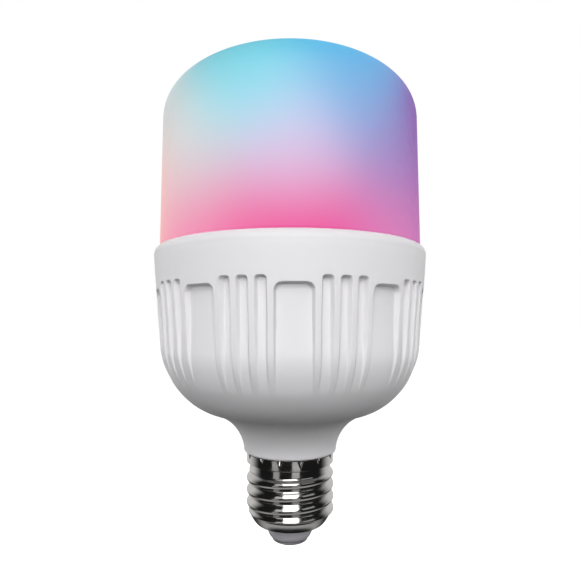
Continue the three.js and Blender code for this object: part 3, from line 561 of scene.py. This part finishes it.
def make_screw_shell():
    columns = 360
    angles = np.linspace(0, 2 * pi, columns, endpoint=False)
    inner_radius = BAND_RADIUS - SHEET
    band_heights = np.linspace(CAP_TOP, BAND_BOTTOM, 18)
    thread_heights = np.linspace(THREAD_TOP, THREAD_BOTTOM, 84)
    end = bezier((THREAD_ROOT, THREAD_BOTTOM), *CONE_HANDLES, CONE_BOTTOM, 9)
    end += bezier(CONE_BOTTOM, *LIP_HANDLES, LIP_EDGE, 14)
    end += bezier(LIP_EDGE, (LIP_BORE, LIP_EDGE[1]), (LIP_BORE, LIP_EDGE_TOP - 0.03 * MM),
                  (LIP_EDGE[0], LIP_EDGE_TOP), 5)
    end += [*INSIDE_LIP, (THREAD_ROOT - SHEET, THREAD_BOTTOM + 0.4 * MM)]
    bore_heights = thread_heights[::-1][4:]

    rows = [BAND_RADIUS - crimp_dent(z, angles) for z in band_heights]
    rows += [thread_radius(z, angles) for z in thread_heights]
    rows += [np.full(columns, r) for r, _ in end]
    rows += [thread_radius(z, angles) - SHEET for z in bore_heights]
    rows += [inner_radius - crimp_dent(z, angles) for z in (BAND_BOTTOM, CAP_TOP)]
    heights = [*band_heights, *thread_heights, *(z for _, z in end), *bore_heights, BAND_BOTTOM, CAP_TOP]
    obj = ring_grid("threaded_shell", np.array(rows), heights, angles, radians(60))
    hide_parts("screw_shell")
    return obj, nickel_material(), "nickel_shell"


def nickel_material():
    n = Nodes("bright_nickel")
    smear = n.noise(160.0, detail=3.0, stretch=(1, 1, 4))
    turning = n.noise(900.0, detail=2.0, stretch=(0.25, 0.25, 6))
    n.bump(turning, 0.003 * MM)
    gloss = n.fade(smear, 0.25, 0.75, 0.07, 0.16)
    return n.set(Base_Color=n.tones(smear, "dcdad8", "cecccb"), Roughness=gloss, Metallic=1.0)


def make_insulator():
    low = bottom_of("cap_insulator")
    high = top_of("cap_insulator")
    wide = radius_of("cap_insulator")
    foot = INSULATOR_FOOT
    profile = [(INSULATOR_HOLE, low), (CONTACT_RADIUS + 0.1 * MM, low)]
    profile += bezier(profile[-1], (6.0 * MM, low), (6.3 * MM, low + 0.5 * MM), (foot, low + 1.5 * MM), 8)
    profile += [(foot, 4.2 * MM), (foot, 6.0 * MM), (9.3 * MM, 6.6 * MM), (wide, THREAD_BOTTOM), (wide, high)]
    profile += [(INSULATOR_HOLE, high)]
    angles = np.linspace(0, 2 * pi, 128, endpoint=False)
    rows = np.array([np.full(len(angles), r) for r, _ in profile])
    obj = ring_grid("insulator_moulding", rows, [z for _, z in profile], angles)
    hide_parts("cap_insulator")
    return obj, insulator_material(), "grey_insulator"


def insulator_material():
    n = Nodes("grey_moulding")
    cloud = n.noise(260.0, detail=3.0)
    n.bump(n.noise(2600.0, detail=2.0), 0.005 * MM)
    gloss = n.fade(cloud, 0.3, 0.7, 0.34, 0.46)
    return n.set(Base_Color=n.tones(cloud, "c2c0c6", "b4b2b9"), Roughness=gloss, Specular_IOR_Level=0.5)


def make_contact():
    """Dished button with a rounded edge, and the rivet behind it."""
    rivet_top = top_of("centre_contact")
    rivet_edge = 0.3 * MM
    profile = [(0.0, 0.28 * MM), (0.9 * MM, 0.24 * MM), (1.5 * MM, 0.06 * MM)]
    profile += [(2.0 * MM, 0.0), (CONTACT_FLAT, 0.0)]
    profile += bezier(profile[-1], (4.9 * MM, 0.0), (5.35 * MM, 0.3 * MM), (CONTACT_RADIUS, 0.75 * MM), 8)
    profile += [(CONTACT_RADIUS, CONTACT_TOP - 0.1 * MM), (CONTACT_RADIUS - 0.1 * MM, CONTACT_TOP)]
    profile += [(RIVET_RADIUS, CONTACT_TOP), (RIVET_RADIUS, rivet_top - rivet_edge)]
    profile += [(RIVET_RADIUS - rivet_edge, rivet_top), (0.0, rivet_top)]
    obj = capped_turning("contact_button", profile, 128)
    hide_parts("centre_contact")
    return obj, tin_material(), "tinned_contact"


def tin_material():
    n = Nodes("tinned_plate")
    blotch = n.noise(300.0, detail=4.0)
    rings = n.noise(1200.0, detail=2.0, stretch=(0.3, 0.3, 3))
    n.bump(rings, 0.006 * MM)
    gloss = n.fade(blotch, 0.3, 0.7, 0.36, 0.5)
    return n.set(Base_Color=n.tones(blotch, "bcbac0", "a9a6ae"), Roughness=gloss, Metallic=0.7)


# ---------------------------------------------------------------- pieces inside

INSIDE_FINISHES = {
    "silicone_seal": (("dbd9d1", "cfcdc4"), 0.6, 0.0),
    "sink_aluminium": (("c4c6c9", "b3b6ba"), 0.35, 1.0),
    "thermal_silicone": (("94a0ab", "828e99"), 0.8, 0.0),
    "led_board_mask": (("f2f1ec", "e9e8e2"), 0.4, 0.0),
    "white_socket": (("ecebe4", "e2e0d8"), 0.45, 0.0),
    "zinc_screw": (("bfc2c4", "a9adb0"), 0.28, 1.0),
    "warm_phosphor": (("f2c25a", "e8b247"), 0.4, 0.0),
    "cool_phosphor": (("f1e9a4", "e9df90"), 0.4, 0.0),
    "clear_epoxy": (("f1f3f4", "e4e8ea"), 0.25, 0.0),
    "driver_laminate": (("1f5c3a", "1a4f31"), 0.4, 0.0),
    "radio_laminate": (("1c3f86", "183672"), 0.4, 0.0),
    "capacitor_sleeve": (("26314f", "1d2740"), 0.35, 0.0),
    "film_yellow": (("d9a724", "cb991b"), 0.4, 0.0),
    "ferrite": (("403f41", "343335"), 0.65, 0.0),
    "winding_tape": (("dbb73e", "cfa92f"), 0.35, 0.0),
    "blue_lacquer": (("2f64ab", "28579a"), 0.3, 0.0),
    "green_lacquer": (("4f916c", "447f5d"), 0.4, 0.0),
    "black_epoxy": (("202022", "18181a"), 0.5, 0.0),
    "gold_pins": (("d8ac4c", "c99b3c"), 0.25, 1.0),
    "brown_sleeve": (("6c4229", "5c3722"), 0.4, 0.0),
    "blue_sleeve": (("2b58a6", "234b91"), 0.4, 0.0),
    "black_moulding": (("1a1a1b", "141415"), 0.5, 0.0),
}


def finish_inside():
    """Gives every CAD node that is kept its own slot's finish."""
    finishes = {}
    for slot, (codes, roughness, metallic) in INSIDE_FINISHES.items():
        finishes[slot] = speckled(slot, codes, roughness, metallic)
    slot_of = {part["node"]: part["material_slot"] for part in frame["record"]["subparts"]}
    for node, obj in frame["nodes"].items():
        material = finishes.get(slot_of[node])
        if material:
            obj.data.materials.clear()
            obj.data.materials.append(material)


# ---------------------------------------------------------------- stage, light and camera

CAMERA_HEIGHT = 65.4 * MM
CAMERA_DISTANCE = 152.4 * MM
SENSOR_WIDTH = 36.0
LENS = 31.03
SHIFT_UP = 0.0586
FLOOR_SIZE = 30.0
FLOOR_HEIGHT = -0.25


def make_camera():
    data = bpy.data.cameras.new("camera")
    data.sensor_width = SENSOR_WIDTH
    data.lens = LENS
    data.shift_y = SHIFT_UP
    data.clip_start = 0.01
    camera = bpy.data.objects.new("camera", data)
    camera.location = (0.0, -CAMERA_DISTANCE, CAMERA_HEIGHT)
    camera.rotation_euler = (pi / 2, 0.0, 0.0)
    bpy.context.collection.objects.link(camera)
    bpy.context.scene.camera = camera


def make_floor():
    """Pale floor well below the lamp, which is held up by its cap."""
    mesh = bpy.data.meshes.new("floor")
    signs = ((-1, -1), (1, -1), (1, 1), (-1, 1))
    corners = [(x * FLOOR_SIZE, y * FLOOR_SIZE, FLOOR_HEIGHT) for x, y in signs]
    mesh.from_pydata(corners, [], [(0, 1, 2, 3)])
    floor = bpy.data.objects.new("floor", mesh)
    bpy.context.collection.objects.link(floor)
    n = Nodes("pale_floor")
    n.set(Base_Color=(0.9, 0.9, 0.9, 1.0), Roughness=0.9)
    n.set(Emission_Color=(1.0, 1.0, 1.0, 1.0), Emission_Strength=1.0)
    mesh.materials.append(n.material)
    floor.visible_diffuse = False
    floor.visible_glossy = False
    floor.visible_shadow = False


# Soft cones of the background: axis, the cosines of the edge and of the core, and strength.
# Matt surfaces are lit by the first one. Shiny ones mirror a light behind the lamp that is cut off low
# down, a grey floor, and a dark stand that hides the middle of that floor.
BEHIND = ((0.0, 1.0, 0.0), -0.1, 0.8, 0.45)
MIRRORED_BACK = ((0.0, 1.0, 0.0), -0.05, 0.6, 0.70)
MIRRORED_CUT = ((0.0, 0.0, 1.0), -0.6, -0.2, 1.0)
MIRRORED_FLOOR = ((0.0, 0.0, -1.0), 0.55, 0.85, 0.40)
MIRRORED_STAND = ((0.0, 0.3, -1.0), 0.87, 0.94, 1.0)
MIRRORED_DARK = 0.012


def make_world():
    """White to the camera, and the soft cones above to everything else."""
    world = bpy.data.worlds.new("studio")
    world.use_nodes = True
    bpy.context.scene.world = world
    tree = world.node_tree
    nodes, links = tree.nodes, tree.links
    nodes.clear()
    direction = nodes.new("ShaderNodeTexCoord").outputs["Generated"]
    rays = nodes.new("ShaderNodeLightPath")

    def lobe(axis, edge, core, strength):
        along = nodes.new("ShaderNodeVectorMath")
        along.operation = "DOT_PRODUCT"
        links.new(direction, along.inputs[0])
        along.inputs[1].default_value = Vector(axis).normalized()
        fade = nodes.new("ShaderNodeMapRange")
        fade.interpolation_type = "SMOOTHSTEP"
        links.new(along.outputs["Value"], fade.inputs["Value"])
        for key, number in (("From Min", edge), ("From Max", core), ("To Min", 0.0), ("To Max", strength)):
            fade.inputs[key].default_value = number
        return fade.outputs["Result"]

    def combine(operation, first, second):
        node = nodes.new("ShaderNodeMath")
        node.operation = operation
        links.new(first, node.inputs[0])
        if isinstance(second, float):
            node.inputs[1].default_value = second
        else:
            links.new(second, node.inputs[1])
        return node.outputs[0]

    def background(strength):
        node = nodes.new("ShaderNodeBackground")
        node.inputs["Color"].default_value = (1.0, 1.0, 1.0, 1.0)
        if strength is not None:
            links.new(strength, node.inputs["Strength"])
        return node.outputs[0]

    def choose(ray, otherwise, chosen):
        node = nodes.new("ShaderNodeMixShader")
        links.new(rays.outputs[ray], node.inputs[0])
        links.new(otherwise, node.inputs[1])
        links.new(chosen, node.inputs[2])
        return node.outputs[0]

    mirrored = combine("MULTIPLY", lobe(*MIRRORED_BACK), lobe(*MIRRORED_CUT))
    floor = lobe(*MIRRORED_FLOOR)
    floor = combine("SUBTRACT", floor, combine("MULTIPLY", floor, lobe(*MIRRORED_STAND)))
    mirrored = combine("ADD", combine("ADD", mirrored, floor), MIRRORED_DARK)
    light = choose("Is Glossy Ray", background(lobe(*BEHIND)), background(mirrored))
    surface = choose("Is Camera Ray", light, background(None))
    links.new(surface, nodes.new("ShaderNodeOutputWorld").inputs["Surface"])


# Softboxes: azimuth (0 is the front, 90 is +X) and elevation in degrees, width, height and radiance.
LIGHT_CENTRE = (0.0, 0.0, 50 * MM)
LIGHT_DISTANCE = 0.7
MATT_LIGHTS = {
    "high_front": (0, 55, 0.40, 0.40, 3.0),
    "low_front": (0, 25, 0.60, 0.50, 4.0),
    "front_left": (-50, 15, 0.50, 0.90, 0.5),
    "front_right": (50, 15, 0.50, 0.90, 0.5),
    "back_left": (-110, 10, 0.60, 0.90, 1.3),
    "back_right": (110, 10, 0.60, 0.90, 1.3),
}
MIRRORED_LIGHTS = {
    "mirrored_key": (-1, 29, 0.46, 0.66, 2.6),
    "mirrored_soft": (-31, 22, 0.26, 0.46, 0.6),
    "mirrored_side": (48, 24, 0.40, 0.30, 0.35),
    "mirrored_left": (-38, -22, 0.20, 0.26, 0.4),
    "mirrored_right": (16, -22, 0.24, 0.26, 0.5),
}


def softbox(name, azimuth, elevation, width, height, radiance):
    """Rectangular light that faces the lamp."""
    turn, lift = radians(azimuth), radians(elevation)
    towards = Vector((sin(turn) * cos(lift), -cos(turn) * cos(lift), sin(lift)))
    data = bpy.data.lights.new(name, "AREA")
    data.shape = "RECTANGLE"
    data.size = width
    data.size_y = height
    data.energy = radiance * pi * width * height
    light = bpy.data.objects.new(name, data)
    light.location = Vector(LIGHT_CENTRE) + towards * LIGHT_DISTANCE
    light.rotation_euler = towards.to_track_quat("Z", "Y").to_euler()
    light.visible_camera = False
    bpy.context.collection.objects.link(light)
    return light


def make_lights():
    """One set lights matt surfaces only, and the other is only mirrored in shiny ones."""
    for name, values in MATT_LIGHTS.items():
        softbox(name, *values).visible_glossy = False
    for name, values in MIRRORED_LIGHTS.items():
        softbox(name, *values).visible_diffuse = False


bpy.context.scene.view_settings.view_transform = "Standard"

pieces = [make_diffuser(), make_housing(), make_screw_shell(), make_insulator(), make_contact()]
for piece, material, slot in pieces:
    piece.data.materials.append(material)
    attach(piece, BODY)
finish_inside()
make_floor()
make_world()
make_lights()
make_camera()
